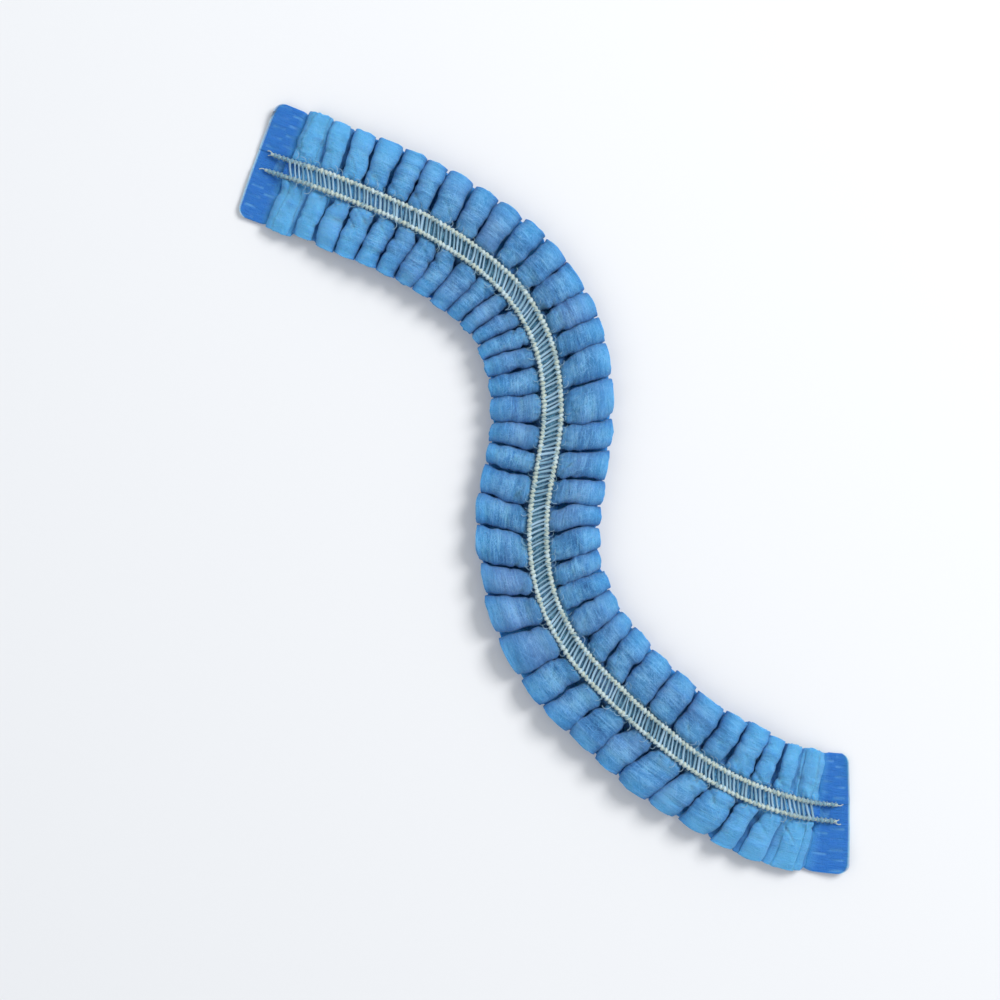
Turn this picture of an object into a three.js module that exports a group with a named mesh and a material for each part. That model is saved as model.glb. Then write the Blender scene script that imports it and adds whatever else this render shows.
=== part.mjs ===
// A disposable pleated cap of blue nonwoven cloth, as it is packed: folded lengthwise into a
// narrow strip of several plies, gathered crosswise into round S-shaped pleats by two elastic
// cords along its middle, welded flat at both ends, and lying on a table in a lazy S.
// Millimetres and degrees, +Z up. The strip's own directions are along, across and up.
import * as THREE from "three";

// The folded strip
const stripLength = 250; // along its middle, from cut edge to cut edge
const stripWidth = 30;
const stripHeight = 7.3; // over the full pleats beside the elastics
const clothThick = 1.6; // three or four soft plies together
const clearance = 0.3; // between pieces that touch

// The pleats
const pleatCount = 34;
const creaseGap = 0.5; // between one crown and the next
const edgeDrop = 0.4; // how much lower the crowns are along the side edges
const pleatFacets = 10; // flat faces round one whole pleat

// The welded ends
const sealLength = 9;
const sealThick = 1.2;

// The low channel along the middle, where the rim of the cap is gathered over the pleats
const channelWidth = 7.2;
const channelShoulder = 1.2; // how wide the step up to the full crowns is, on each side
const channelDepth = 2.4;
const rimWidth = 6.4;
const rimThick = 0.9;

// The two elastic cords
const elasticThick = 1.3;
const elasticSpacing = 4.4; // from the middle of one cord to the middle of the other
const elasticInset = 3; // from the strip's cut edge to the end of a cord
const elasticDrop = 2; // the stretch where a cord comes down from the rim to the weld
const elasticSides = 6;

// Where the strip heads, at shares of its length, measured anticlockwise from +X
const route = [
  { at: 0.0, heading: -20 },
  { at: 0.14, heading: -24 },
  { at: 0.27, heading: -42 },
  { at: 0.36, heading: -74 },
  { at: 0.48, heading: -101 },
  { at: 0.56, heading: -85 },
  { at: 0.7, heading: -48 },
  { at: 0.82, heading: -36 },
  { at: 0.92, heading: -20 },
  { at: 1.0, heading: 0 },
];

// The pleats next to a weld flatten out: their rise as a share of the full one
const endPleats = [{ rise: 0.42 }, { rise: 0.64 }, { rise: 0.82 }, { rise: 0.94 }];

// No two pleats are alike: their widths from the upper left weld on, as shares of the mean one
const pleatWidths = [
  { width: 0.92 },
  { width: 0.85 },
  { width: 0.88 },
  { width: 0.95 },
  { width: 0.88 },
  { width: 0.82 },
  { width: 0.92 },
  { width: 0.88 },
  { width: 0.95 },
  { width: 0.85 },
  { width: 0.85 },
  { width: 0.88 },
  { width: 0.9 },
  { width: 0.88 },
  { width: 1.07 },
  { width: 1.2 },
  { width: 0.95 },
  { width: 0.92 },
  { width: 1.1 },
  { width: 1.03 },
  { width: 1.17 },
  { width: 0.92 },
  { width: 1.1 },
  { width: 1.27 },
  { width: 1.07 },
  { width: 1.1 },
  { width: 1.25 },
  { width: 1.14 },
  { width: 1.3 },
  { width: 1.07 },
  { width: 1.2 },
  { width: 0.87 },
  { width: 0.85 },
  { width: 0.96 },
];

const cloth = new THREE.MeshStandardMaterial({ color: 0x4a94d4, roughness: 0.9, metalness: 0 });
const rimCloth = new THREE.MeshStandardMaterial({ color: 0x5fa0cc, roughness: 0.9, metalness: 0 });
const elastic = new THREE.MeshStandardMaterial({ color: 0xdde6d2, roughness: 0.75, metalness: 0 });

// The heading at a share of the length, on a smooth curve through the rows of the table.
function headingAt(share) {
  const last = route.length - 2;
  const found = route.findIndex((row, i) => i > 0 && share <= row.at) - 1;
  const i = found < 0 ? last : found;
  const row = (k) => route[Math.min(Math.max(k, 0), route.length - 1)];
  const span = row(i + 1).at - row(i).at;
  const t = (share - row(i).at) / span;
  const turnPerShare = (a, b) => (b.heading - a.heading) / (b.at - a.at);
  const start = span * turnPerShare(row(i - 1), row(i + 1));
  const end = span * turnPerShare(row(i), row(i + 2));
  const rise = row(i + 1).heading - row(i).heading;
  const bend = t * t * (3 * rise - 2 * start - end) + t * t * t * (start + end - 2 * rise);
  return THREE.MathUtils.degToRad(row(i).heading + t * start + bend);
}

// Points of the strip's middle line in plan, one for each step along it.
function middleLine() {
  const steps = 1000;
  const points = [new THREE.Vector2(0, 0)];
  for (let i = 0; i < steps; i++) {
    const heading = headingAt((i + 0.5) / steps);
    const step = new THREE.Vector2(Math.cos(heading), Math.sin(heading));
    points.push(points[i].clone().addScaledVector(step, stripLength / steps));
  }
  return points;
}

const middle = middleLine();

// A place of the strip, given along, across and up, as a point in space.
function place(along, across, up) {
  const share = THREE.MathUtils.clamp(along / stripLength, 0, 1);
  const reach = share * (middle.length - 1);
  const i = Math.min(Math.floor(reach), middle.length - 2);
  const point = middle[i].clone().lerp(middle[i + 1], reach - i);
  const heading = headingAt(share);
  return new THREE.Vector3(
    point.x - Math.sin(heading) * across,
    point.y + Math.cos(heading) * across,
    up,
  );
}

// The pleats in order, each with its start, width and rise share.
function pleatRows() {
  const shareOf = (i) => pleatWidths[i % pleatWidths.length].width;
  const riseOf = (i) => {
    const fromEnd = Math.min(i, pleatCount - 1 - i);
    return fromEnd < endPleats.length ? endPleats[fromEnd].rise : 1;
  };
  const shares = Array.from({ length: pleatCount }, (_, i) => shareOf(i));
  const unit = (stripLength - 2 * sealLength) / shares.reduce((a, b) => a + b);
  const rows = [];
  let start = sealLength;
  for (let i = 0; i < pleatCount; i++) {
    rows.push({ start, width: shares[i] * unit, rise: riseOf(i) });
    start += shares[i] * unit;
  }
  return rows;
}

const pleats = pleatRows();

// How far a full pleat's walls swing out under its crown, as a share of the pleat's width, so that
// the crowns, with the cloth's thickness, stay one crease apart. Found by halving.
function swingFor(width) {
  const wanted = (width - clothThick - creaseGap) / (2 * width);
  const halfWidth = (swing) => {
    const turn = Math.acos(Math.max(-1, -1 / (4 * Math.PI * swing)));
    return turn / (4 * Math.PI) + swing * Math.sin(turn);
  };
  let low = 1 / (4 * Math.PI);
  let high = 0.3;
  for (let i = 0; i < 30; i++) {
    const swing = (low + high) / 2;
    if (halfWidth(swing) < wanted) low = swing;
    else high = swing;
  }
  return low;
}

// The middle of the cloth's thickness along the strip, as points along and up, at full pleats of
// the given height over all.
function clothLine(height) {
  const rise = height - clothThick;
  const share = rise / (stripHeight - clothThick);
  const line = [
    { along: 0, up: sealThick / 2, half: sealThick / 2 },
    { along: sealLength - clothThick, up: sealThick / 2, half: sealThick / 2 },
  ];
  for (const pleat of pleats) {
    const swing = swingFor(pleat.width) * share * pleat.rise;
    for (let k = 0; k < pleatFacets; k++) {
      const u = (k + 0.5) / pleatFacets;
      const wave = Math.cos(2 * Math.PI * u) / Math.cos(Math.PI / pleatFacets);
      line.push({
        along: pleat.start + pleat.width * (u + swing * Math.sin(4 * Math.PI * u)),
        up: clothThick / 2 + (rise * pleat.rise * (1 - wave)) / 2,
        half: clothThick / 2,
      });
    }
  }
  const mirrored = line.slice(0, 2).reverse();
  return line.concat(mirrored.map((point) => ({ ...point, along: stripLength - point.along })));
}

// The line moved to one side by half the cloth's thickness, mitred at each corner.
function offsetLine(line, side) {
  const normal = (a, b) => {
    const length = Math.hypot(b.along - a.along, b.up - a.up);
    return new THREE.Vector2((a.up - b.up) / length, (b.along - a.along) / length);
  };
  return line.map((point, i) => {
    const before = normal(line[Math.max(i - 1, 0)], line[Math.max(i, 1)]);
    const after = normal(line[Math.min(i, line.length - 2)], line[Math.min(i + 1, line.length - 1)]);
    const mitre = before.clone().add(after).normalize();
    const reach = (side * point.half) / mitre.dot(before);
    return { along: point.along + mitre.x * reach, up: point.up + mitre.y * reach };
  });
}

// A closed solid between two grids of points, upper[i][j] over lower[i][j].
function wallBetween(upper, lower) {
  const rows = upper.length;
  const columns = upper[0].length;
  const positions = [...upper.flat(), ...lower.flat()].flatMap((p) => [p.x, p.y, p.z]);
  const top = (i, j) => i * columns + j;
  const bottom = (i, j) => rows * columns + i * columns + j;
  const index = [];
  const face = (a, b, c, d) => index.push(a, b, c, a, c, d);
  for (let i = 0; i + 1 < rows; i++) {
    for (let j = 0; j + 1 < columns; j++) {
      face(top(i, j), top(i + 1, j), top(i + 1, j + 1), top(i, j + 1));
      face(bottom(i, j), bottom(i, j + 1), bottom(i + 1, j + 1), bottom(i + 1, j));
    }
    face(top(i, 0), bottom(i, 0), bottom(i + 1, 0), top(i + 1, 0));
    face(top(i, columns - 1), top(i + 1, columns - 1), bottom(i + 1, columns - 1), bottom(i, columns - 1));
  }
  for (let j = 0; j + 1 < columns; j++) {
    face(top(0, j), top(0, j + 1), bottom(0, j + 1), bottom(0, j));
    face(top(rows - 1, j), bottom(rows - 1, j), bottom(rows - 1, j + 1), top(rows - 1, j + 1));
  }
  const geometry = new THREE.BufferGeometry();
  geometry.setAttribute("position", new THREE.Float32BufferAttribute(positions, 3));
  geometry.setIndex(index);
  geometry.computeVertexNormals();
  return geometry;
}

// The pleated cloth: one wall, lofted across the strip through its side edges, its full crowns
// and the low channel.
function capBody() {
  const channelHalf = channelWidth / 2;
  const half = [
    { across: channelHalf, height: stripHeight - channelDepth },
    { across: channelHalf + channelShoulder, height: stripHeight },
    { across: stripWidth / 2, height: stripHeight - edgeDrop },
  ];
  const mirrored = half.map((row) => ({ ...row, across: -row.across })).reverse();
  const stations = [...mirrored, ...half].map((row) => ({ across: row.across, line: clothLine(row.height) }));
  const surface = (side) => {
    const lines = stations.map((station) => offsetLine(station.line, side));
    return lines[0].map((_, i) => stations.map((row, j) => place(lines[j][i].along, row.across, lines[j][i].up)));
  };
  const mesh = new THREE.Mesh(wallBetween(surface(1), surface(-1)), cloth);
  mesh.name = "cap_body";
  return mesh;
}

// Where the underside of the rim runs: over each crown in the channel, and down to the welds.
function rimLine() {
  const channelRise = stripHeight - channelDepth - clothThick;
  const overWeld = sealThick + clearance;
  const line = [{ along: sealLength - clothThick, up: overWeld }];
  pleats.forEach((pleat, i) => {
    const up = clothThick + channelRise * pleat.rise + clearance;
    const next = pleats[i + 1];
    line.push({ along: pleat.start + pleat.width / 2, up });
    if (!next) return;
    const nextUp = clothThick + channelRise * next.rise + clearance;
    const between = (pleat.start + pleat.width / 2 + next.start + next.width / 2) / 2;
    line.push({ along: between, up: 0.25 * Math.min(up, nextUp) + 0.75 * Math.max(up, nextUp) });
  });
  line.push({ along: stripLength - line[0].along, up: overWeld });
  return line;
}

// The rim of the cap's opening: the turned edges of the cloth, gathered flat by the elastics.
function rimBand() {
  const sides = [-rimWidth / 2, rimWidth / 2];
  const surface = (lift) => rimLine().map((p) => sides.map((across) => place(p.along, across, p.up + lift)));
  const mesh = new THREE.Mesh(wallBetween(surface(rimThick), surface(0)), rimCloth);
  mesh.name = "rim_band";
  return mesh;
}

// The middle of an elastic cord, over the rim and down onto the weld at each end.
function elasticLine() {
  const onRim = rimThick + clearance + elasticThick / 2;
  const onWeld = sealThick + clearance + elasticThick / 2;
  const rim = rimLine().map((p) => ({ along: p.along, up: p.up + onRim }));
  const foot = [
    { along: elasticInset, up: onWeld },
    { along: rim[0].along - elasticDrop, up: onWeld },
  ];
  const mirrored = foot.map((p) => ({ ...p, along: stripLength - p.along })).reverse();
  return [...foot, ...rim, ...mirrored];
}

// One elastic cord, swept along its line at its own distance from the middle.
function elasticCord(name, across) {
  const line = elasticLine();
  const positions = [];
  for (const point of line) {
    for (let k = 0; k < elasticSides; k++) {
      const turn = (2 * Math.PI * (k + 0.5)) / elasticSides;
      const out = (elasticThick / 2) * Math.cos(turn);
      const lift = (elasticThick / 2) * Math.sin(turn);
      const corner = place(point.along, across + out, point.up + lift);
      positions.push(corner.x, corner.y, corner.z);
    }
  }
  const index = [];
  const corner = (i, k) => i * elasticSides + (k % elasticSides);
  for (let i = 0; i + 1 < line.length; i++) {
    for (let k = 0; k < elasticSides; k++) {
      index.push(corner(i, k), corner(i, k + 1), corner(i + 1, k + 1));
      index.push(corner(i, k), corner(i + 1, k + 1), corner(i + 1, k));
    }
  }
  for (let k = 1; k + 1 < elasticSides; k++) {
    index.push(corner(0, 0), corner(0, k + 1), corner(0, k));
    index.push(corner(line.length - 1, 0), corner(line.length - 1, k), corner(line.length - 1, k + 1));
  }
  const geometry = new THREE.BufferGeometry();
  geometry.setAttribute("position", new THREE.Float32BufferAttribute(positions, 3));
  geometry.setIndex(index);
  geometry.computeVertexNormals();
  const mesh = new THREE.Mesh(geometry, elastic);
  mesh.name = name;
  return mesh;
}

const group = new THREE.Group();
group.add(capBody());
group.add(rimBand());
group.add(elasticCord("elastic_left", elasticSpacing / 2));
group.add(elasticCord("elastic_right", -elasticSpacing / 2));

// The origin is the middle of the footprint, on the surface that the cap lies on.
const bounds = new THREE.Box3().setFromObject(group);
const centre = bounds.getCenter(new THREE.Vector3());
group.position.set(-centre.x, -centre.y, -bounds.min.z);

export default group;
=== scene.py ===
# A disposable pleated cap of blue nonwoven cloth, packed as a strip in a lazy S, seen from above.
import math

import bpy
import numpy as np
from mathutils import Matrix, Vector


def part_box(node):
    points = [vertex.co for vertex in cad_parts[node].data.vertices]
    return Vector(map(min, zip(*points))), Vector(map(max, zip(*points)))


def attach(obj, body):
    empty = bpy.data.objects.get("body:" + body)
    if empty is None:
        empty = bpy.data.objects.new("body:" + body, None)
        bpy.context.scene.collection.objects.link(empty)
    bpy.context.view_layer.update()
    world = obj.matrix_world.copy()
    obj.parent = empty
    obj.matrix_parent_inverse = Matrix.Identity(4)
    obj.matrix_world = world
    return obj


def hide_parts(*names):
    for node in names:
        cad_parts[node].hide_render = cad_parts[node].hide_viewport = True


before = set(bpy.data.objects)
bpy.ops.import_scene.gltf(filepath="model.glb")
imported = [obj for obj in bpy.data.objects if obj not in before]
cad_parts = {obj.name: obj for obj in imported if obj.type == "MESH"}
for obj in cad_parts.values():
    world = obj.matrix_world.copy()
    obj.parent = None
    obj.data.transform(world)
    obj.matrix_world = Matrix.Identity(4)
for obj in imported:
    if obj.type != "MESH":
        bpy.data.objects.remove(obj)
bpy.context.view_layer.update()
bpy.ops.object.select_all(action="DESELECT")
print("frame loaded:", ", ".join(sorted(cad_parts)))

mm = 0.001

# The folded strip, with the same sizes as its solids
strip = {
    "length": 250 * mm,
    "width": 30 * mm,
    "height": 7.3 * mm,
    "clothThick": 1.6 * mm,
    "pleatCount": 34,
    "sealLength": 9 * mm,
    "sealThick": 1.2 * mm,
    "channelDepth": 2.4 * mm,
    "rimThick": 0.9 * mm,
    "elasticThick": 1.3 * mm,
    "elasticSpacing": 4.2 * mm,
    "elasticInset": 3 * mm,
    "elasticDrop": 2 * mm,
    "route": [  # share of the length, heading in degrees
        (0.0, -20), (0.14, -24), (0.27, -42), (0.36, -74), (0.48, -101),
        (0.56, -85), (0.7, -48), (0.82, -36), (0.92, -20), (1.0, 0),
    ],
    "endPleats": [0.42, 0.64, 0.82, 0.94],  # rise next to a weld, as a share
    "pleatWidths": [  # shares of the mean, from the upper left weld on
        0.92, 0.85, 0.88, 0.95, 0.88, 0.82, 0.92, 0.88, 0.95, 0.85, 0.85, 0.88,
        0.9, 0.88, 1.07, 1.2, 0.95, 0.92, 1.1, 1.03, 1.17, 0.92, 1.1, 1.27,
        1.07, 1.1, 1.25, 1.14, 1.3, 1.07, 1.2, 0.87, 0.85, 0.96,
    ],
    "lean": [  # share of the length, how far the creases lean along at the left and right folds, mm
        (0.0, 0.8, -0.6), (0.12, -1.2, 0.6), (0.24, 0.6, -0.6), (0.33, -0.3, -0.4), (0.4, -2.6, -0.2),
        (0.46, -3.5, 0.3), (0.5, -2.3, -0.3), (0.57, -3.0, -3.4), (0.64, -2.6, -1.8), (0.7, -2.4, -1.4),
        (0.77, -0.8, -1.7), (0.85, -0.1, -2.1), (0.91, 0.0, -3.4), (0.96, 0.0, -1.5), (1.0, 0.0, 0.0),
    ],
}
fullRise = strip["height"] - strip["clothThick"]  # of the cloth's middle, from a crease to a crown


def smooth(low, high, value):  # eased step from 0 to 1
    t = np.clip((value - low) / (high - low), 0, 1)
    return t * t * (3 - 2 * t)


def softNoise(x, y, seed):
    # Smooth bumps from -1 to 1, one about every unit. Where a plain number is added to x or y,
    # it only takes another part of the same field of bumps.
    size = 101
    grid = np.random.default_rng(seed).uniform(-1, 1, (size, size))
    x, y = np.broadcast_arrays(np.asarray(x, float), np.asarray(y, float))
    i, j = np.floor(x).astype(int), np.floor(y).astype(int)
    fx, fy = smooth(0, 1, x - i), smooth(0, 1, y - j)
    near = grid[i % size, j % size] * (1 - fx) + grid[(i + 1) % size, j % size] * fx
    far = grid[i % size, (j + 1) % size] * (1 - fx) + grid[(i + 1) % size, (j + 1) % size] * fx
    return near * (1 - fy) + far * fy


# The route in plan
routeAt = np.array([row[0] for row in strip["route"]])
routeTurn = np.radians([row[1] for row in strip["route"]])
routeSlope = np.gradient(routeTurn, routeAt)
for i in range(1, len(routeAt) - 1):  # inside, from one neighbour to the other
    routeSlope[i] = (routeTurn[i + 1] - routeTurn[i - 1]) / (routeAt[i + 1] - routeAt[i - 1])


def headingAt(share):
    i = np.clip(np.searchsorted(routeAt, share, side="left") - 1, 0, len(routeAt) - 2)
    span = routeAt[i + 1] - routeAt[i]
    t = (share - routeAt[i]) / span
    start, end = span * routeSlope[i], span * routeSlope[i + 1]
    rise = routeTurn[i + 1] - routeTurn[i]
    square = 3 * rise - 2 * start - end
    cube = start + end - 2 * rise
    return routeTurn[i] + t * start + t**2 * square + t**3 * cube


middleSteps = 4000
middleShare = np.linspace(0, 1, middleSteps + 1)
stepHeading = headingAt((middleShare[1:] + middleShare[:-1]) / 2)
stepLength = strip["length"] / middleSteps
middleX = np.concatenate([[0], np.cumsum(np.cos(stepHeading)) * stepLength])
middleY = np.concatenate([[0], np.cumsum(np.sin(stepHeading)) * stepLength])


def onStrip(along, across, up):  # a place of the strip as points in space
    share = np.clip(along / strip["length"], 0, 1)
    heading = headingAt(share)
    past = along - share * strip["length"]
    x = np.interp(share, middleShare, middleX) + past * np.cos(heading) - across * np.sin(heading)
    y = np.interp(share, middleShare, middleY) + past * np.sin(heading) + across * np.cos(heading)
    return np.stack(np.broadcast_arrays(x, y, up), axis=-1)


# The solids' origin is the middle of their footprint
outline = np.concatenate([
    onStrip(middleShare * strip["length"], side * strip["width"] / 2, 0.0) for side in (-1, 1)
])
bodyLow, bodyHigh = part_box("cap_body")
planShift = np.array([
    (bodyLow[k] + bodyHigh[k]) / 2 - (outline[:, k].min() + outline[:, k].max()) / 2 for k in (0, 1)
])
middleX += planShift[0]
middleY += planShift[1]


# The pleats in order
def pleatTable():
    count = strip["pleatCount"]
    shares = np.array([strip["pleatWidths"][i % len(strip["pleatWidths"])] for i in range(count)])
    widths = shares * (strip["length"] - 2 * strip["sealLength"]) / shares.sum()
    starts = strip["sealLength"] + np.concatenate([[0], np.cumsum(widths)[:-1]])
    ends = strip["endPleats"]
    rises = np.array([
        ends[min(i, count - 1 - i)] if min(i, count - 1 - i) < len(ends) else 1.0 for i in range(count)
    ])
    return starts, widths, rises


pleatStart, pleatWidth, pleatRise = pleatTable()
pleatMiddle = pleatStart + pleatWidth / 2


def swingFor(width, gap):  # how far the walls swing out, so that two crowns stay a gap apart
    wanted = (width - strip["clothThick"] - gap) / (2 * width)
    low, high = 1 / (4 * math.pi), 0.3  # an upright wall, and one that doubles back far
    for _ in range(30):
        swing = (low + high) / 2
        turn = math.acos(max(-1, -1 / (4 * math.pi * swing)))
        if turn / (4 * math.pi) + swing * math.sin(turn) < wanted:
            low = swing
        else:
            high = swing
    return low


# The plies of cloth: two flaps from the cords out to the side folds, and three plies below them
plies = {
    "flaps": {"cloth_flap_left": 1, "cloth_flap_right": -1},
    "lower": ["cloth_ply_second", "cloth_ply_third", "cloth_ply_under"],
    "gap": 0.07 * mm,
    "flapInner": 2.55 * mm,  # where a flap's hem starts, under its cord
    "flapRows": 36,  # rows of points in a pleat
    "flapRowBias": 2.6,  # how much closer they stand on the crowns
    "lowerRows": 20,
    "tabRows": 34,
    "flapColumns": 46,
    "fineColumns": 85,  # on a face that shows
    "coarseColumns": 21,  # on a hidden face, closer towards the side folds
    "layingSteps": 4000,
    "creaseShow": 0.05 * mm,  # how far apart two crowns stay
    "flatLength": 580 * mm,  # of the cloth in the pleats, as a mean over the width
    "lowerFine": 0.9,  # how much of the wrinkles the lower plies take
    "edgeReach": [0.0, -0.35, 0.1, -0.2],  # mm, how far each ply's edge stands out
    "tightest": 0.85,  # share of a bend's radius that a face may fill on its inside
    "floorGap": 0.02 * mm,
    "floorEase": 0.06 * mm,
}

# Zones are given from the strip's middle, for a change that starts at the first value and is
# whole at the second. Bumps have a length, a width and a seed.
crowns = {
    "flat": -1.0,  # 1 is a flat crown, 0 a round one, and below 0 its top is narrower
    "lowPower": 0.36,  # how narrow the creases are in the lowest pleats, 1 is a plain wave
    "powerRise": 1.1,  # how soon they widen in higher ones
    "channelWall": (1.9 * mm, 3.9 * mm),  # where they rise from under the cords
    "bulge": 0.35 * mm,
    "bulgeMiddle": 9.4 * mm,
    "bulgeHalf": 5.6 * mm,
    "edgeRound": 1.3 * mm,
    "edgeRoundZone": (9.5 * mm, 15.2 * mm),
    "bendStretch": (0.45, 1.8),  # the least and the most that a bend narrows or widens a pleat
    "hemDepth": 1.2 * mm,  # how far the flaps' hems lie below the crowns
    "hemFlat": 0.55,
    "hemCalm": 0.7,  # how much less the walls swing there
    "hemZone": (2.6 * mm, 5.2 * mm),
    "hemPale": 1.2,  # how much of the painted crease light and shoulder shade is held off there
    "sideCalm": 0.16,  # how much less they swing at the side folds
    "sideZone": (13 * mm, 15.3 * mm),
    "shallow": 0.62,  # how high the creases lie next to a weld, as a share of the crowns there
    "heightSpread": 0.08,  # how uneven the crowns are
    "heightWidth": 9 * mm,
    "heightStep": 0.83,  # how unlike two neighbours are
    "swingSpread": 0.05,
    "swingWidth": 7 * mm,
    "swingStep": 0.71,
    "sway": 0.9 * mm,  # how unevenly the crowns lean
    "swayZone": (2 * mm, 8 * mm),
    "swayBumps": [(19 * mm, 12 * mm, 13), (9 * mm, 6 * mm, 20)],
    "wander": 0.5 * mm,  # of the creases
    "wanderBumps": [(11 * mm, 8 * mm, 14)],
    "leanStart": 2.5 * mm,
    "leanWidth": 12.5 * mm,
    "reach": 1.0 * mm,  # how far crowns stand out past the creases at the side folds
    "reachMiddle": 0.6,  # the share of a crown's height that stays in place
    "reachZone": (9 * mm, 15 * mm),
    "edgeWave": 0.7 * mm,  # how unevenly the pleats stand out there
    "edgeStep": 0.9,
    "frill": 0.22 * mm,
    "frillLength": 1.7 * mm,
}
wrinkles = {
    "line": 0.2 * mm,
    "lineBumps": [(1.25 * mm, 7 * mm, 15), (2.6 * mm, 11 * mm, 16)],  # across, then along
    "dent": 0.38 * mm,
    "dentBumps": [(3.9 * mm, 5 * mm, 17), (2.0 * mm, 2.8 * mm, 18)],
    "onTabs": 0.15,
    "gather": 0.3 * mm,  # small gathers beside the cords
    "gatherPitch": 1.15 * mm,
    "gathersInPitch": 1.9,
    "gatherWidth": 2.4 * mm,
    "gatherStart": (2.4 * mm, 3.2 * mm),
    "gatherStop": (3.8 * mm, 6.8 * mm),
    "branch": 0.38 * mm,  # creases that run into the crowns from the cords
    "branchPitch": 3.1 * mm,
    "branchWidth": 8 * mm,
    "branchTurn": 0.25,
    "branchSharp": (0.62, 1),
    "branchStop": (5 * mm, 11 * mm),
}
tabs = {
    "thicken": (0.66, 1.0),  # where they thicken into the pleats, as shares of their length
    "curl": 1.0 * mm,  # at one corner of each
    "curlShare": 0.75,
    "firstCurl": (5 * mm, 15 * mm),
    "lastCurl": (3 * mm, 15 * mm),
    "cornerRound": 2.4 * mm,
    "bow": 0.3 * mm,
    "bowWidth": 10 * mm,
    "dashLength": 3.2 * mm,
    "dashWidth": 0.5 * mm,
    "dashPitch": 2.6 * mm,
    "dashDepth": 0.12 * mm,
    "dashRows": (2.6 * mm, 6.4 * mm),  # from the cut end
    "dashSides": (0.3, 0.8),  # where a dash fades, as shares of its width and length
    "dashEnds": (0.42, 0.55),
    "dashFade": 0.999,  # where the tab thickens
}
markZones = {  # where the colours change
    "cut": (0.1 * mm, 0.55 * mm),
    # side: where painted light brightens the cloth towards the side folds
    "side": (8.5 * mm, 15.5 * mm),
    "inner": (3 * mm, 9 * mm),
    # end: where painted light brightens the cloth towards the welds
    "end": (10 * mm, 60 * mm),
}

swingWidths = np.linspace(2.6, 12, 80) * mm  # the widths that a pleat may have
swingTable = np.array([swingFor(w, plies["creaseShow"]) for w in swingWidths])
pleatBend = np.interp(
    pleatMiddle / strip["length"], middleShare[1:-1], np.diff(stepHeading) / stepLength
)  # how sharply the strip turns at each pleat


def bumps(x, y, kinds):  # soft bumps of each kind, half as high as those of the kind before
    total = 0
    for k, (length, width, seed) in enumerate(kinds):
        total = total + softNoise(x / length, y / width, seed) * 0.5**k
    return total


def crownWave(u, rise):  # the height of the cloth over one pleat, from 0 to 1
    wave, flat = np.cos(2 * math.pi * u), crowns["flat"]
    height = (1 - (1 - flat) * wave - flat * np.sin(wave * math.pi / 2)) / 2
    power = crowns["lowPower"] + crowns["powerRise"] * (rise - strip["endPleats"][0])
    return np.maximum(height, 0) ** np.clip(power, crowns["lowPower"], 1)


def layRows(perPleat, bias):
    # Rows of points along the cloth: its pleats and the phase in each, its tabs, and how far each
    # row lies along the flat cloth. The rows stand closer where bias makes the crowns finer.
    u = np.linspace(0, 1, plies["layingSteps"] + 1)
    width = pleatWidth.mean()
    swing = np.interp(width, swingWidths, swingTable)
    along = width * (u + swing * np.sin(4 * math.pi * u))
    wave = crownWave(u, 1.0)
    step = np.hypot(np.diff(along), np.diff(fullRise * wave))
    run = np.concatenate([[0], np.cumsum(step)])
    dense = np.concatenate([[0], np.cumsum(step * (1 + bias * wave[1:] ** 3))])
    phase = np.interp((np.arange(perPleat) + 0.5) / perPleat * dense[-1], dense, u)
    count = strip["pleatCount"]
    tab = np.arange(plies["tabRows"]) / plies["tabRows"]
    seal = strip["sealLength"]
    pleat = np.repeat(np.arange(count), perPleat)
    pleatRun = seal + pleat * run[-1] + np.tile(np.interp(phase, u, run), count)
    whole = 2 * seal + count * run[-1]
    return {
        "pleat": pleat,
        "phase": np.tile(phase, count),
        "tab": tab,
        "run": np.concatenate([tab * seal, pleatRun, whole - tab[::-1] * seal]),
    }


def withTabs(first, middle, last=None):  # values from one tab over the pleats to the other tab
    last = first if last is None else last
    return np.concatenate([first, middle, last[::-1]])


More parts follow.
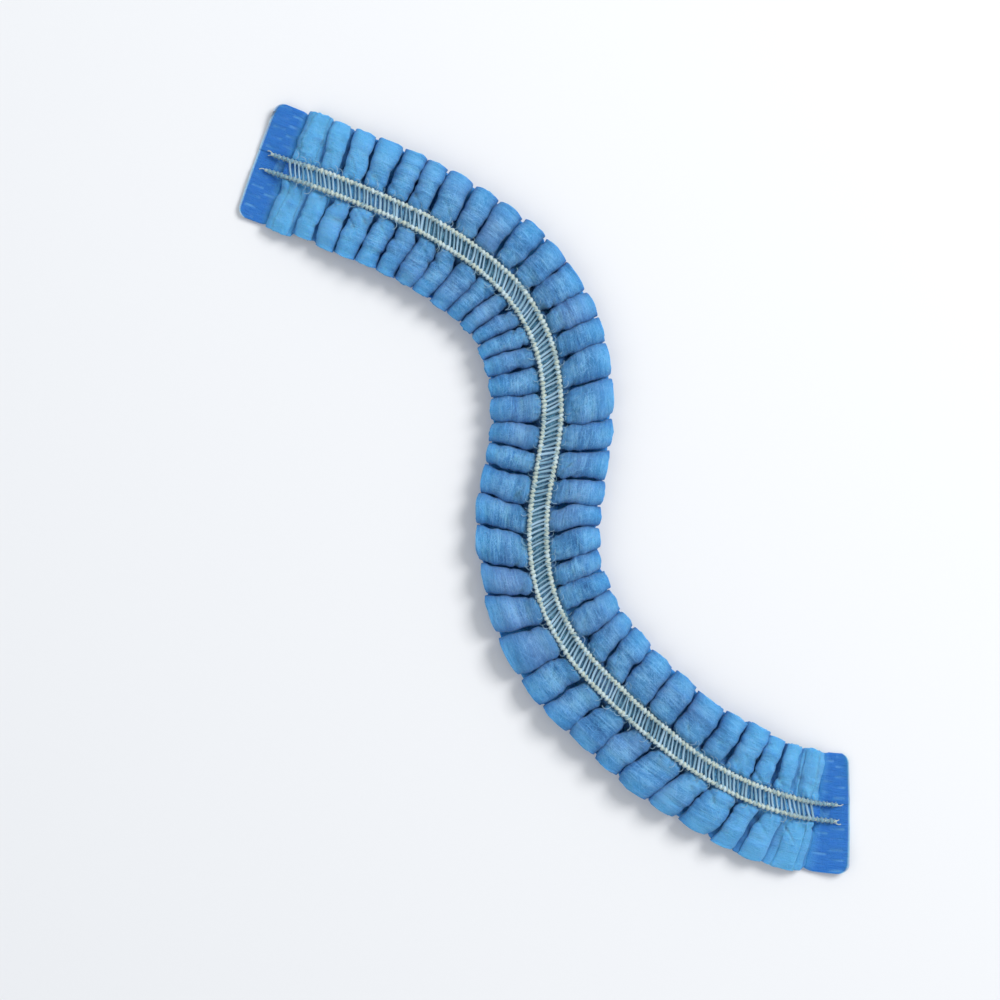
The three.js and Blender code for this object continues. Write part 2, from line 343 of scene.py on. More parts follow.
def pleatPoints(rows, y, channel, hem):
    # The cloth between the tabs: its place along and up, its height in the wave, how far it
    # counts as a crown for the painted shoulder shade and crease light, and how much the strip's bends
    # stretch it.
    a = np.abs(y)
    low = (fullRise - channel) / fullRise
    share = low + (1 - low) * smooth(*crowns["channelWall"], a)
    share = share - crowns["edgeRound"] / fullRise * smooth(*crowns["edgeRoundZone"], a) ** 1.5
    fromBulge = (a - crowns["bulgeMiddle"]) / crowns["bulgeHalf"]
    bulge = np.clip(1 - fromBulge**2, -1, 1) * crowns["bulge"]

    i = rows["pleat"][:, None]
    u = rows["phase"][:, None]
    rise, width = pleatRise[i], pleatWidth[i]
    stretch = np.clip(1 - y * pleatBend[i], *crowns["bendStretch"])
    uneven = softNoise(i * crowns["heightStep"] + 3.1, y / crowns["heightWidth"], 11)
    varied = 1 + crowns["heightSpread"] * uneven
    swing = np.interp(width * stretch, swingWidths, swingTable) * share**0.1 * rise
    uneven = softNoise(i * crowns["swingStep"], y / crowns["swingWidth"] + 5.5, 12)
    swing = swing * (1 + crowns["swingSpread"] * uneven)
    swing = swing * (1 - crowns["sideCalm"] * smooth(*crowns["sideZone"], a))
    nearCords = hem * (1 - smooth(*crowns["hemZone"], a))
    swing = swing * (1 - crowns["hemCalm"] * nearCords)
    shallow = crowns["shallow"] * ((1 - rise) / (1 - strip["endPleats"][0])) ** 0.7
    shallow = 1 - (1 - shallow) * (1 - nearCords)
    height = crownWave(u, rise) * (1 - shallow) + shallow
    place = pleatStart[i] + width * (u + swing * np.sin(4 * math.pi * u))
    shift = bumps(place, y, crowns["swayBumps"])
    place = place + rise * crowns["sway"] * height * shift * smooth(*crowns["swayZone"], a)
    up = strip["clothThick"] / 2 + fullRise * share * rise * varied * height
    up = up + bulge * rise * height**2
    # How far the painted shoulder shade and crease light reach: less beside the cords and on the low pleats
    crownMark = 1 - (1 - height) * (1 - crowns["hemPale"] * nearCords) * rise**1.5
    return place, up, height, crownMark, stretch


def tabPoints(rows, y):
    # A tab, level and thicker towards the pleats: its place from the cut end, straight and with
    # round corners, how far it has thickened, its thickness, and its level at either end.
    a = np.abs(y)
    seal = strip["sealLength"]
    straight = np.broadcast_to(rows["tab"][:, None] * seal, (len(rows["tab"]), a.shape[1]))
    grow = smooth(*tabs["thicken"], rows["tab"])[:, None]
    thick = strip["sealThick"] + (strip["clothThick"] - strip["sealThick"]) * grow
    curl = (1 - smooth(0, tabs["curlShare"], rows["tab"]))[:, None] * tabs["curl"]
    firstUp = thick / 2 + curl * smooth(*tabs["firstCurl"], y)
    lastUp = thick / 2 + curl * smooth(*tabs["lastCurl"], -y)
    radius = tabs["cornerRound"]
    into = np.clip(a - (strip["width"] / 2 - radius), 0, 0.98 * radius)  # just short of square
    corner = radius - np.sqrt(radius**2 - into**2)
    bow = tabs["bow"] * np.cos(a / tabs["bowWidth"])
    end = straight + (corner - bow) * (1 - straight / seal)
    return straight, end, grow, thick, firstUp, lastUp


def leanAlong(place, y):  # how far the creases lean along the strip, more towards its sides
    leanAt, leanLeft, leanRight = np.array(strip["lean"]).T
    share = place / strip["length"]
    left, right = np.interp(share, leanAt, leanLeft), np.interp(share, leanAt, leanRight)
    outwards = np.clip((np.abs(y) - crowns["leanStart"]) / crowns["leanWidth"], 0, 1)
    return np.where(y > 0, left, right) * mm * outwards


def clothRelief(place, run, y, pleated):  # the wrinkles, as heights above the smooth cloth
    a = np.abs(y)
    lines = bumps(y, run, wrinkles["lineBumps"])
    dents = bumps(y, run, wrinkles["dentBumps"])
    onTabs = wrinkles["onTabs"]
    relief = (wrinkles["line"] * lines + wrinkles["dent"] * dents) * (onTabs + (1 - onTabs) * pleated)
    nearCords = smooth(*wrinkles["gatherStart"], a) * (1 - smooth(*wrinkles["gatherStop"], a))
    along = place / wrinkles["gatherPitch"] * wrinkles["gathersInPitch"]
    gathers = softNoise(along, y / wrinkles["gatherWidth"], 21)
    relief = relief + wrinkles["gather"] * gathers * nearCords * pleated
    slanting = place / wrinkles["branchPitch"] + wrinkles["branchTurn"] * y / mm
    ridge = 1 - np.abs(softNoise(slanting, y / wrinkles["branchWidth"], 22))
    branches = smooth(*wrinkles["branchSharp"], ridge) * pleated
    return relief - wrinkles["branch"] * branches * (1 - smooth(*wrinkles["branchStop"], a))


def weldDashes(fromEnd, y, pleated):  # two staggered rows of dashes on each tab, from 0 to 1
    dash = np.zeros_like(fromEnd)
    for row, centre in enumerate(tabs["dashRows"]):
        shifted = (y / tabs["dashPitch"] + 0.5 * row) % 1.0 - 0.5
        fromMiddle = np.abs(shifted) * tabs["dashPitch"] / tabs["dashWidth"]
        narrow = 1 - smooth(*tabs["dashSides"], fromMiddle)
        lengthwise = 1 - smooth(*tabs["dashEnds"], np.abs(fromEnd - centre) / tabs["dashLength"])
        dash = np.maximum(dash, narrow * lengthwise * (1 - pleated * tabs["dashFade"]))
    return dash


def clothPoints(rows, across, level, fine, channel, hem):
    # Points of the cloth for each row along it and each column across it, with their marks.
    # level is how far a column lies above the middle of the cloth, fine how much of the wrinkles
    # it takes, channel how deep it lies under the cords, and hem how much its pleats flatten
    # beside them.
    y = across[None, :]
    place, up, height, crownMark, stretch = pleatPoints(rows, y, channel, hem)
    straight, end, grow, thick, firstUp, lastUp = tabPoints(rows, y)
    whole = np.ones((len(rows["pleat"]), 1))
    flatTab = np.zeros_like(straight)
    place = withTabs(end, place, strip["length"] - end)
    up = withTabs(firstUp, up, lastUp)
    fromCut = withTabs(straight, np.ones_like(height))
    scale = withTabs(thick / strip["clothThick"], whole)
    pleated = withTabs(grow, whole)
    crown = withTabs(flatTab, height)
    crownMark = withTabs(flatTab, crownMark)
    stretch = withTabs(flatTab + 1, stretch)

    # Creases wander a little off square
    wander = crowns["wander"] * bumps(place, y, crowns["wanderBumps"]) * pleated
    free = smooth(0, strip["sealLength"] * 2, np.minimum(place, strip["length"] - place))
    place = place + (wander + leanAlong(place, y)) * free

    # Outwards by each column's level, less where the cloth bends tightly
    dPlace, dUp = np.gradient(place, axis=0) * stretch, np.gradient(up, axis=0)
    size = np.maximum(np.hypot(dPlace, dUp), 1e-9)
    angle = np.unwrap(np.arctan2(dUp, dPlace), axis=0)
    turn = np.gradient(angle, axis=0) / size
    reach = level[None, :] * scale
    most = plies["tightest"] / np.where(turn == 0, 1, turn)
    reach = np.where(turn * reach > plies["tightest"], most, reach)
    run = rows["run"][:, None]
    reach = reach + clothRelief(place, run, y, pleated) * fine
    place = place - dUp / size * reach / stretch
    up = up + dPlace / size * reach

    # Weld dashes are pressed into both faces
    fromEnd = np.minimum(place, strip["length"] - place)
    dash = weldDashes(fromEnd, y, pleated)
    up = up - np.sign(level)[None, :] * dash * tabs["dashDepth"] * fine

    # Crowns reach out past the creases at the side folds, each by its own amount
    side = np.sign(y)
    noTab = np.zeros(len(rows["tab"]))
    own = withTabs(noTab, rows["pleat"] + 1.0, noTab + strip["pleatCount"] + 1.0)
    sideways = crowns["edgeWave"] * softNoise(own[:, None] * crowns["edgeStep"], side * 2.5 + 20, 19)
    sideways = sideways + crowns["reach"] * (crown - crowns["reachMiddle"])
    frill = softNoise(run / crowns["frillLength"], level[None, :] / mm + 9 * side, 23)
    sideways = sideways + crowns["frill"] * frill
    y = y + smooth(*crowns["reachZone"], np.abs(y)) * side * sideways * pleated
    up = np.maximum(up, plies["floorGap"] + plies["floorEase"] * smooth(-1 * mm, 1 * mm, up))
    values = {
        "weld": np.clip(1 - pleated + 0 * y, 0, 1),
        "dash": dash,
        # crown drives the painted shoulder shade and the painted crease light
        "crown": np.clip(crownMark, 0, 1),
        "cut": 1 - smooth(*markZones["cut"], fromCut),
        # painted light towards the side folds
        "side": smooth(*markZones["side"], np.abs(y)) + 0 * place,
        "inner": 1 - smooth(*markZones["inner"], np.abs(y)) + 0 * place,
        # painted light towards the welds
        "end": 1 - smooth(*markZones["end"], fromEnd + 0 * y),
    }
    return onStrip(place, y, up), values


def ringMesh(name, points, uvs, values):
    # A closed tube of cloth from rows of rings, points[row, column], with a uv and named values.
    rows, columns = points.shape[:2]
    mesh = bpy.data.meshes.new(name)
    r, c = np.meshgrid(np.arange(rows - 1), np.arange(columns), indexing="ij")
    ahead = (c + 1) % columns
    here, above = r * columns, (r + 1) * columns
    quads = np.stack([here + c, above + c, above + ahead, here + ahead], -1)
    faces = quads.reshape(-1, 4).tolist()
    faces.append(list(range(columns)))
    faces.append([(rows - 1) * columns + k for k in range(columns)][::-1])
    mesh.from_pydata(points.reshape(-1, 3).tolist(), [], faces)
    flat = mesh.uv_layers.new(name="strip")
    loops = np.empty(len(mesh.loops), np.int64)
    mesh.loops.foreach_get("vertex_index", loops)
    flat.data.foreach_set("uv", uvs.reshape(-1, 2)[loops].astype(np.float32).ravel())
    for key, value in values.items():
        layer = mesh.attributes.new(key, "FLOAT", "POINT")
        value = np.broadcast_to(value, (rows, columns))
        layer.data.foreach_set("value", value.astype(np.float32).ravel())
    mesh.validate()
    obj = bpy.data.objects.new(name, mesh)
    bpy.context.collection.objects.link(obj)
    mesh.shade_smooth()
    return obj


def shadeEnds(obj, angle=50):  # smooth faces with sharp cut ends
    bpy.ops.object.select_all(action="DESELECT")
    obj.select_set(True)
    bpy.context.view_layer.objects.active = obj
    bpy.ops.object.shade_smooth_by_angle(angle=math.radians(angle))
    obj.select_set(False)


def facesOut(obj):  # turn every face outwards if the rings went round the other way
    mesh = obj.data
    co = np.empty(len(mesh.vertices) * 3)
    mesh.vertices.foreach_get("co", co)
    co = co.reshape(-1, 3)
    mesh.calc_loop_triangles()
    tri = np.empty(len(mesh.loop_triangles) * 3, np.int64)
    mesh.loop_triangles.foreach_get("vertices", tri)
    a, b, c = (co[tri.reshape(-1, 3)[:, k]] for k in range(3))
    if (a * np.cross(b, c)).sum() < 0:
        mesh.flip_normals()


def plyMesh(name, rows, columns, levels, *shape):
    # One ply: its upper face, side, lower face and other side, as a ring of columns.
    (over, under), (top, low) = columns, levels
    turn = np.radians([50, 0, -50])
    outwards = (top - low) / 2 * np.cos(turn)
    sideLevel = (top + low) / 2 + (top - low) / 2 * np.sin(turn)
    across = np.concatenate([over, over[-1] + outwards, under, over[0] - outwards[::-1]])
    overLevel, underLevel = np.full(len(over), top), np.full(len(under), low)
    level = np.concatenate([overLevel, sideLevel, underLevel, sideLevel[::-1]])
    points, values = clothPoints(rows, across, level, *shape)
    uvs = np.stack(np.broadcast_arrays(rows["run"][:, None], across[None, :]), -1)
    obj = ringMesh(name, points, uvs, values)
    facesOut(obj)
    shadeEnds(obj)
    return obj


def makePlies():
    made = []
    count = 1 + len(plies["lower"])
    thick = (strip["clothThick"] - (count - 1) * plies["gap"]) / count
    halves = [strip["width"] / 2 + reach * mm - thick / 2 for reach in plies["edgeReach"]]
    top = strip["clothThick"] / 2
    rows = layRows(plies["flapRows"], plies["flapRowBias"])
    inner, outer = plies["flapInner"], halves[0]
    for name, side in plies["flaps"].items():
        ends = (inner, outer) if side > 0 else (-outer, -inner)
        over = np.linspace(*ends, plies["flapColumns"])
        quarter = np.sin(np.linspace(0, math.pi / 2, plies["coarseColumns"] // 2))
        under = side * (inner + (outer - inner) * quarter)
        under = under[::-1] if side > 0 else under
        shape = (1.0, crowns["hemDepth"], crowns["hemFlat"])
        made.append(plyMesh(name, rows, (over, under), (top, top - thick), *shape))
    rows = layRows(plies["lowerRows"], 0.0)
    for k, name in enumerate(plies["lower"], start=1):
        top = strip["clothThick"] / 2 - k * (thick + plies["gap"])
        over = halves[k] * np.sin(np.linspace(-math.pi / 2, math.pi / 2, plies["coarseColumns"]))
        under = over[::-1]
        if k == count - 1:
            under = np.linspace(halves[k], -halves[k], plies["fineColumns"])
        shape = (plies["lowerFine"], strip["channelDepth"], 0.0)
        made.append(plyMesh(name, rows, (over, under), (top, top - thick), *shape))
    return made


clothPieces = makePlies()
print("plies:", [(o.name, 2 * len(o.data.polygons)) for o in clothPieces])


# The gathered rim under the cords
rim = {
    "name": "gathered_rim",
    "rowStep": 0.25 * mm,
    "halfWidth": 2.6 * mm,
    "topColumns": 17,
    "lowColumns": 7,
    "pitch": 1.15 * mm,  # of the puckers, one to each stitch
    "pucker": 0.26 * mm,
    "fineBump": 0.14 * mm,
    "edgeOut": 1.03,  # how far its rounded edges stand out, as a share of its half width
    "edgeWave": 0.06,
    "edgeFall": 0.5 * mm,
    "fallStart": 1.8 * mm,
    "fallOnCrowns": 0.35,
    "creaseZone": (0.22, 0.5),  # from a pleat's middle, as shares of the way to the next
    "endLength": 3 * mm,  # where it runs out flat on the welds
    "weldZone": (0, 6 * mm),
    # where the painted light towards the welds fades out on the rim
    "endZone": (2 * mm, 50 * mm),
    "gap": 0.18 * mm,  # above the crowns in the channel
}


def crownTopLine():  # the level of the crowns in the channel, along the strip
    rise = strip["height"] - strip["channelDepth"] - strip["clothThick"]
    start = strip["sealLength"] - strip["clothThick"]
    weld = [strip["sealThick"]]
    along = np.concatenate([[start], pleatMiddle, [strip["length"] - start]])
    up = np.concatenate([weld, strip["clothThick"] + rise * pleatRise, weld])
    return along, up


channelAlong, channelUp = crownTopLine()
rimStart = channelAlong[0]
rimEnd = channelAlong[-1]


def rimUnder(along):
    return np.interp(along, channelAlong, channelUp) + rim["gap"]


def makeRim():
    rows = int(round((rimEnd - rimStart) / rim["rowStep"])) + 1
    along = np.linspace(rimStart, rimEnd, rows)[:, None]
    over = np.linspace(-1, 1, rim["topColumns"])
    under = np.linspace(1, -1, rim["lowColumns"])
    side = np.concatenate([over, [rim["edgeOut"]], under, [-rim["edgeOut"]]])[None, :]
    lift = np.concatenate([
        np.full(len(over), 1.0), [0.5], np.full(len(under), 0.0), [0.5]
    ])[None, :]
    wave = 1 + rim["edgeWave"] * softNoise(along / (2.4 * mm), np.sign(side) * 3 + 8, 41)
    across = side * rim["halfWidth"] * wave
    a = np.abs(across)

    # The edges fall into the creases between the pleats
    k = np.clip(np.searchsorted(pleatMiddle, along) - 1, 0, len(pleatMiddle) - 2)
    t = (along - pleatMiddle[k]) / (pleatMiddle[k + 1] - pleatMiddle[k])
    crease = smooth(*rim["creaseZone"], np.minimum(t, 1 - t))
    least = rim["fallOnCrowns"]
    fall = smooth(rim["fallStart"], rim["halfWidth"], a) * (least + (1 - least) * crease)
    fall = fall * rim["edgeFall"]

    # Puckers from the stitching, and finer bumps
    phase = 2 * math.pi * along / rim["pitch"]
    phase = phase + 1.1 * softNoise(along / (3 * mm), a / (2 * mm), 42)
    uneven = 0.55 + 0.45 * softNoise(along / (2.1 * mm), across / (2.2 * mm), 43)
    pucker = rim["pucker"] * np.cos(phase) * uneven
    pucker = pucker + rim["fineBump"] * softNoise(along / (0.7 * mm), across / (1.4 * mm), 44)
    ends = smooth(0, rim["endLength"], np.minimum(along - rimStart, rimEnd - along))
    up = rimUnder(along) + strip["rimThick"] * (0.25 + 0.75 * lift)
    up = up - fall * ends + pucker * (0.35 + 0.65 * ends)
    points = onStrip(along, across, up)
    uvs = np.stack(np.broadcast_arrays(along, across), -1)
    fromEnd = np.minimum(along - rimStart, rimEnd - along) + 0 * across
    marks = {
        "crown": 1.0,
        "weld": 1 - smooth(*rim["weldZone"], fromEnd),
        # painted light towards the welds
        "end": 1 - smooth(*rim["endZone"], fromEnd),
    }
    obj = ringMesh(rim["name"], points, uvs, marks)
    facesOut(obj)
    shadeEnds(obj, 60)
    return obj


rimPiece = makeRim()
print("rim:", len(rimPiece.data.polygons), "faces")


def tubeThrough(name, points, thick, resolution=1, bevel=1):
    # A round thread or cord through points, made as a curve and turned into a mesh.
    bpy.ops.object.select_all(action="DESELECT")
    bpy.ops.curve.primitive_bezier_curve_add(location=(0, 0, 0))
    obj = bpy.context.object
    obj.name = name
    data = obj.data
    data.name = name
    spline = data.splines[0]
    spline.bezier_points.add(len(points) - len(spline.bezier_points))
    for point, at in zip(spline.bezier_points, points):
        point.co = at
        point.handle_left_type = point.handle_right_type = "AUTO"
    data.dimensions = "3D"
    data.bevel_depth = thick / 2
    data.bevel_resolution = bevel
    data.resolution_u = resolution
    data.use_fill_caps = True
    bpy.ops.object.convert(target="MESH")
    obj = bpy.context.object
    bpy.ops.object.shade_smooth()
    obj.select_set(False)
    return obj


# The elastic cords and the threads on them
cord = {
    "names": {1: "cord_left", -1: "cord_right"},
    "thick": 0.8 * mm,
    "step": 1.6 * mm,
    "weldGap": 0.1 * mm,
    "rimGap": 0.05 * mm,
    "wiggle": 0.12 * mm,  # of each cord by itself
    "drift": 0.3 * mm,  # of both cords together
    "bob": 0.1 * mm,
    "tone": 0.1,
}
stitch = {  # pairs, here and below, are the least and the most that a thread may have
    "pitch": 1.15 * mm,
    "inset": 0.5 * mm,  # from the cords' ends
    "spread": (-0.08, 0.08),  # along the strip, in pitches
    "beadThick": 0.7 * mm,
    "beadRadius": 0.33 * mm,
    "beadSize": (0.88, 1.12),
    "beadLength": (1.05, 1.45),
    "beadTilt": (0.05, 0.5),
    "strandThick": 0.3 * mm,
    "strandTilt": (-0.9, -0.3),
    "outFoot": 0.12 * mm,
    "inFoot": 0.1 * mm,
    "blueZone": (5 * mm, 24 * mm),  # the stitches are bluer towards the welds
    "blueTone": 0.3,
}
rung = {
    "thick": 0.46 * mm,
    "inset": 1.2 * mm,
    "spread": (-0.15, 0.15),
    "slant": 1.0 * mm,  # the left foot lies this far back from the rung's middle
    "slantVary": (0.7, 1.25),
    "size": (1.0, 1.7),
    "bow": (-0.2, 0.2),  # mm
    "profile": [  # across and up, as shares of half the cords' spacing and of a cord's thickness
        (-1.0, -0.1), (-0.8, 0.25), (-0.62, -0.1), (-0.36, -0.4), (0.0, -0.5),
        (0.36, -0.4), (0.62, -0.1), (0.8, 0.25), (1.0, -0.1),
    ],
}
tail = {
    "thick": 0.25 * mm,
    "tone": 0.25,
    "ends": [  # mm along from the cord's end, across, and up from the weld
        [(1.0, 2.2, 0.9), (0.3, 2.35, 0.6), (-0.5, 2.7, 0.35), (-1.1, 2.6, 0.25)],
        [(1.0, -2.0, 0.9), (0.3, -2.2, 0.6), (-0.7, -2.0, 0.3), (-1.5, -2.4, 0.25)],
        [(1.0, 2.0, 0.8), (0.1, 1.8, 0.5), (-0.6, 1.5, 0.25)],
    ],
}
loose = {
    "thick": 0.12 * mm,
    "count": 130,  # on each side
    "inset": 2 * mm,
    "hook": [  # mm along, across and up
        (0.0, 0.0, 0.0), (0.12, 0.5, 0.3), (0.1, 1.1, 0.38), (-0.3, 1.6, 0.38), (-0.85, 1.75, 0.34),
    ],
    "size": (0.5, 1.2),
    "turn": (-1.1, 1.1),
    "inwards": (-0.2, 0.5),  # mm
    "outwards": 0.6 * mm,
    "drop": 0.1 * mm,
    "lift": 0.15,
}


def railMiddle(along, side):  # a cord's place across and up
    wiggle = softNoise(along / (9 * mm), 3.0 * side + 10, 31)
    across = side * strip["elasticSpacing"] / 2 + cord["wiggle"] * wiggle
    across = across + cord["drift"] * softNoise(along / (26 * mm), 1.0, 33)
    onWeld = strip["sealThick"] + strip["elasticThick"] / 2 + cord["weldGap"]
    onRim = rimUnder(along) + strip["rimThick"] + strip["elasticThick"] / 2 + cord["rimGap"]
    drop = strip["elasticDrop"]
    inner = np.minimum(along - (rimStart - drop), rimEnd + drop - along)
    up = onWeld + (onRim - onWeld) * smooth(0, drop, inner)
    return across, up + cord["bob"] * softNoise(along / (5 * mm), 2.0 * side + 30, 32)


def makeCords():
    made = []
    for side, name in cord["names"].items():
        count = int((strip["length"] - 2 * strip["elasticInset"]) / cord["step"])
        along = np.linspace(strip["elasticInset"], strip["length"] - strip["elasticInset"], count)
        across, up = railMiddle(along, side)
        made.append(tubeThrough(name, onStrip(along, across, up).tolist(), cord["thick"], 2, 2))
    return made


cordPieces = makeCords()
print("cords:", [len(o.data.polygons) for o in cordPieces])


def copyAlong(name, template, places):
    # Copies of a small template mesh, bent to follow the strip. places has, for each copy, a
    # function from local coordinates to along, across and up, and a tone.
    mesh = template.data
    co = np.empty(len(mesh.vertices) * 3)
    mesh.vertices.foreach_get("co", co)
    co = co.reshape(-1, 3)
    faces = [list(p.vertices) for p in mesh.polygons]
    points, allFaces, tones = [], [], []
    for bendTo, tone in places:
        start = len(points) * len(co)
        points.append(onStrip(*bendTo(co[:, 0], co[:, 1], co[:, 2])))
        allFaces.extend([[start + v for v in face] for face in faces])
        tones.append(np.full(len(co), tone))
    joined = bpy.data.meshes.new(name)
    joined.from_pydata(np.concatenate(points).tolist(), [], allFaces)
    layer = joined.attributes.new("tone", "FLOAT", "POINT")
    layer.data.foreach_set("value", np.concatenate(tones).astype(np.float32))
    joined.shade_smooth()
    obj = bpy.data.objects.new(name, joined)
    bpy.context.collection.objects.link(obj)
    bpy.data.objects.remove(template, do_unlink=True)
    return obj


def loopPoints(radius, outFoot, inFoot):
    # A thread over a cord, from its outer foot on the cloth to its inner one, across a cord at 0.
    turns = np.radians([200, 165, 130, 95, 60, 25, -15])
    arc = [(0.0, radius * math.cos(t), radius * math.sin(t)) for t in turns]
    first = (0.0, -radius - outFoot, -radius * 0.75)
    last = (0.0, radius + inFoot, -radius * 0.7)
    return [first, *arc, last]


def makeBeads():
    # At each stitch a fat bead of thread over each cord, and a thin strand slanting beside it.
    rng = np.random.default_rng(51)
    made = []
    start = strip["elasticInset"] + stitch["inset"]
    count = int((strip["length"] - 2 * start) / stitch["pitch"])
    for part in ("beads", "strands"):
        fat = part == "beads"
        thick = stitch["beadThick"] if fat else stitch["strandThick"]
        radius = stitch["beadRadius"] if fat else cord["thick"] / 2 + thick * 0.3
        offset = 0.0 if fat else 0.5
        points = loopPoints(radius, stitch["outFoot"], stitch["inFoot"])
        template = tubeThrough("thread", points, thick)
        places = []
        for side in (1, -1):
            for k in range(count):
                middle = start + (k + 0.5 + offset + rng.uniform(*stitch["spread"])) * stitch["pitch"]
                swell = rng.uniform(*stitch["beadSize"])
                longer = rng.uniform(*stitch["beadLength"]) if fat else 1.0
                tilt = rng.uniform(*stitch["beadTilt"] if fat else stitch["strandTilt"])
                fromEnd = min(middle, strip["length"] - middle)
                nearWeld = 1 - smooth(*stitch["blueZone"], fromEnd)
                tone = rng.uniform(0, 1) * (1 - nearWeld) - stitch["blueTone"] * nearWeld

                def bendTo(x, y, z, middle=middle, swell=swell, longer=longer, tilt=tilt, side=side):
                    across, up = railMiddle(middle, side)
                    along = middle + x * longer + tilt * y * side
                    return along, across - side * y * swell, up + z * swell

                places.append((bendTo, tone))
        made.append(copyAlong("stitch_" + part, template, places))
    return made


def makeLadder():
    # One slanting rung of thread to each stitch, from cord to cord over the rim.
    rng = np.random.default_rng(52)
    half = strip["elasticSpacing"] / 2
    points = [(0.0, across * half, up * cord["thick"]) for across, up in rung["profile"]]
    template = tubeThrough("rung", points, rung["thick"])
    places = []
    start = rimStart + rung["inset"]
    count = int((rimEnd - rimStart - 2 * rung["inset"]) / stitch["pitch"])
    for k in range(count):
        middle = start + (k + 0.5 + rng.uniform(*rung["spread"])) * stitch["pitch"]
        slant = -rung["slant"] / half * rng.uniform(*rung["slantVary"])
        swell = rng.uniform(*rung["size"])
        bow = rng.uniform(*rung["bow"]) * mm
        tone = rng.uniform(0, 1)

        def bendTo(x, y, z, middle=middle, slant=slant, swell=swell, bow=bow):
            left, leftUp = railMiddle(middle, 1)
            right, rightUp = railMiddle(middle, -1)
            t = (y / half + 1) / 2
            across = right + (left - right) * t
            along = middle + x * swell + slant * y + bow * np.sin(math.pi * t)
            return along, across, rightUp + (leftUp - rightUp) * t + z

        places.append((bendTo, tone))
    return copyAlong("stitch_rungs", template, places)


def setTone(obj, tone):  # one tone of thread all over
    layer = obj.data.attributes.new("tone", "FLOAT", "POINT")
    layer.data.foreach_set("value", np.full(len(obj.data.vertices), tone, np.float32))


def makeTails():
    # Thread ends where the cords stop, lying on the welds.
    made = []
    for far in (False, True):
        for rows in tail["ends"]:
            points = []
            for along, across, up in rows:
                at = strip["elasticInset"] + along * mm
                place = strip["length"] - at if far else at
                across = -across if far else across
                points.append(onStrip(place, across * mm, strip["sealThick"] + up * mm).tolist())
            made.append(tubeThrough("thread_tail", points, tail["thick"], 4))
    bpy.ops.object.select_all(action="DESELECT")
    for obj in made:
        obj.select_set(True)
        setTone(obj, tail["tone"])
    bpy.context.view_layer.objects.active = made[0]
    bpy.ops.object.join()
    obj = bpy.context.object
    obj.name = "thread_tails"
    obj.select_set(False)
    return obj


def makeLoose():
    # Fine hooks of loose thread that lie beside the cords, on the inner ends of the pleats.
    rng = np.random.default_rng(53)
    points = [(x * mm, y * mm, z * mm) for x, y, z in loose["hook"]]
    template = tubeThrough("loose", points, loose["thick"], 2)
    places = []
    room = rimEnd - rimStart - 2 * loose["inset"]
    for side in (1, -1):
        for k in range(loose["count"]):
            middle = (k + rng.uniform(0, 1)) / loose["count"] * room + rimStart + loose["inset"]
            swell = rng.uniform(*loose["size"])
            turn = rng.uniform(*loose["turn"])
            tone = rng.uniform(0, 1)
            inwards = rng.uniform(*loose["inwards"]) * mm

            def bendTo(x, y, z, middle=middle, swell=swell, turn=turn, inwards=inwards, side=side):
                across, up = railMiddle(middle, side)
                along = middle + (x * math.cos(turn) - y * math.sin(turn)) * swell
                out = (x * math.sin(turn) + y * math.cos(turn)) * swell
                out = out + loose["outwards"] - inwards
                lift = loose["lift"] * np.clip(out, 0, 2 * mm)
                return along, across + side * out, up - loose["drop"] + z + lift

            places.append((bendTo, tone))
    return copyAlong("thread_loose", template, places)


beadPieces = makeBeads()
ladderPiece = makeLadder()
loosePiece = makeLoose()
tailPiece = makeTails()
threadPieces = [*cordPieces, *beadPieces, ladderPiece, loosePiece, tailPiece]
print("threads:", [(o.name, len(o.data.polygons)) for o in threadPieces])


# Shader helpers
def nodeAdder(tree):
    def add(kind, inputs=None, **settings):
        node = tree.nodes.new(kind)
        for key, value in settings.items():
            setattr(node, key, value)
        for key, value in (inputs or {}).items():
            if isinstance(value, bpy.types.NodeSocket):
                tree.links.new(value, node.inputs[key])
            else:
                node.inputs[key].default_value = value
        return node
    return add


def startMaterial(name):
    material = bpy.data.materials.new(name)
    material.use_nodes = True
    tree = material.node_tree
    tree.nodes.clear()
    add = nodeAdder(tree)
    shader = add("ShaderNodeBsdfPrincipled")
    add("ShaderNodeOutputMaterial", {"Surface": shader.outputs["BSDF"]})
    return material, tree, add, shader


fibreLies = [(8, 260, 4200), (52, 420, 5200), (-44, 420, 5200), (86, 520, 4600)]  # degrees, scales


def fibreGroup():
    # Tangled fibres: pale lines that run every way, with the lie of the web along X.
    tree = bpy.data.node_groups.new("fibreWeb", "ShaderNodeTree")
    face = tree.interface
    face.new_socket("Vector", in_out="INPUT", socket_type="NodeSocketVector")
    face.new_socket("Density", in_out="INPUT", socket_type="NodeSocketFloat").default_value = 1.0
    face.new_socket("Fibres", in_out="OUTPUT", socket_type="NodeSocketFloat")
    add = nodeAdder(tree)
    source = tree.nodes.new("NodeGroupInput")
    total = None
    for k, (turn, along, across) in enumerate(fibreLies):
        turned = add("ShaderNodeMapping", {
            "Vector": source.outputs["Vector"], "Rotation": (0, 0, math.radians(turn)),
            "Location": (k * 1.7, k * 3.1, k * 0.9),
        })
        stretched = add("ShaderNodeMapping", {
            "Vector": turned.outputs["Vector"], "Scale": (along, across, across),
        })
        noise = add("ShaderNodeTexNoise", {
            "Vector": stretched.outputs["Vector"], "Scale": source.outputs["Density"],
            "Detail": 2.0, "Roughness": 0.5, "Distortion": 0.9,
        })
        line = add("ShaderNodeMapRange", {"Value": noise.outputs["Fac"], "From Min": 0.5, "From Max": 0.68})
        line = line.outputs["Result"]
        if total is None:
            total = line
        else:
            total = add("ShaderNodeMath", {0: total, 1: line}, operation="MAXIMUM").outputs["Value"]
    target = tree.nodes.new("NodeGroupOutput")
    tree.links.new(total, target.inputs["Fibres"])
    return tree


fibreWeb = fibreGroup()

